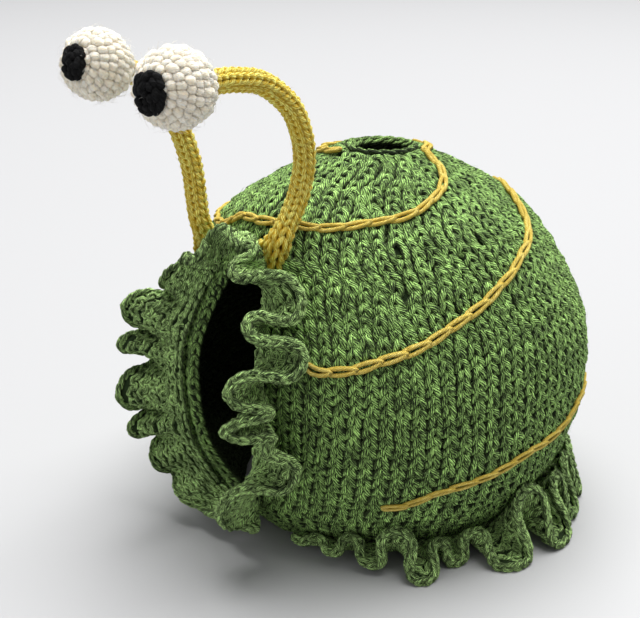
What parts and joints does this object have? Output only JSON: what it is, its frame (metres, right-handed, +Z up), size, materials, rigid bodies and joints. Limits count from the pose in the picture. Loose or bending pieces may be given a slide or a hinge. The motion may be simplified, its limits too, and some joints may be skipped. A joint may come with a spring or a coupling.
{
  "type": "knitted tea cosy",
  "caption": "Hollow knitted cover for a teapot, shaped like a snail, with ruffled edges, a spiral line and stuffed eyes on stalks.",
  "frame": {"origin": "middle of the cosy's bounding box, on the plane that its hem rests on", "axes": "+Z up; -Y towards the spout slit and the eyes; +Y towards the handle slit; +X towards the near side of the picture"},
  "size_m": [0.1486, 0.1816, 0.1654],
  "materials": {
    "green_wool": "heathered wool yarn in two greens, knitted",
    "mustard_wool": "mustard wool yarn, knitted or crocheted",
    "white_wool": "off-white wool yarn, crocheted",
    "black_wool": "black wool yarn, crocheted"
  },
  "bodies": {
    "root": {"body": "green_wool", "spout_frill": "green_wool", "hem_frill": "green_wool", "chain_upper": "mustard_wool", "chain_far": "mustard_wool", "chain_lower": "mustard_wool", "stalk_near": "mustard_wool", "stalk_far": "mustard_wool", "eye_near": "white_wool", "eye_far": "white_wool", "pupil_near": "black_wool", "pupil_far": "black_wool"}
  },
  "joints": []
}
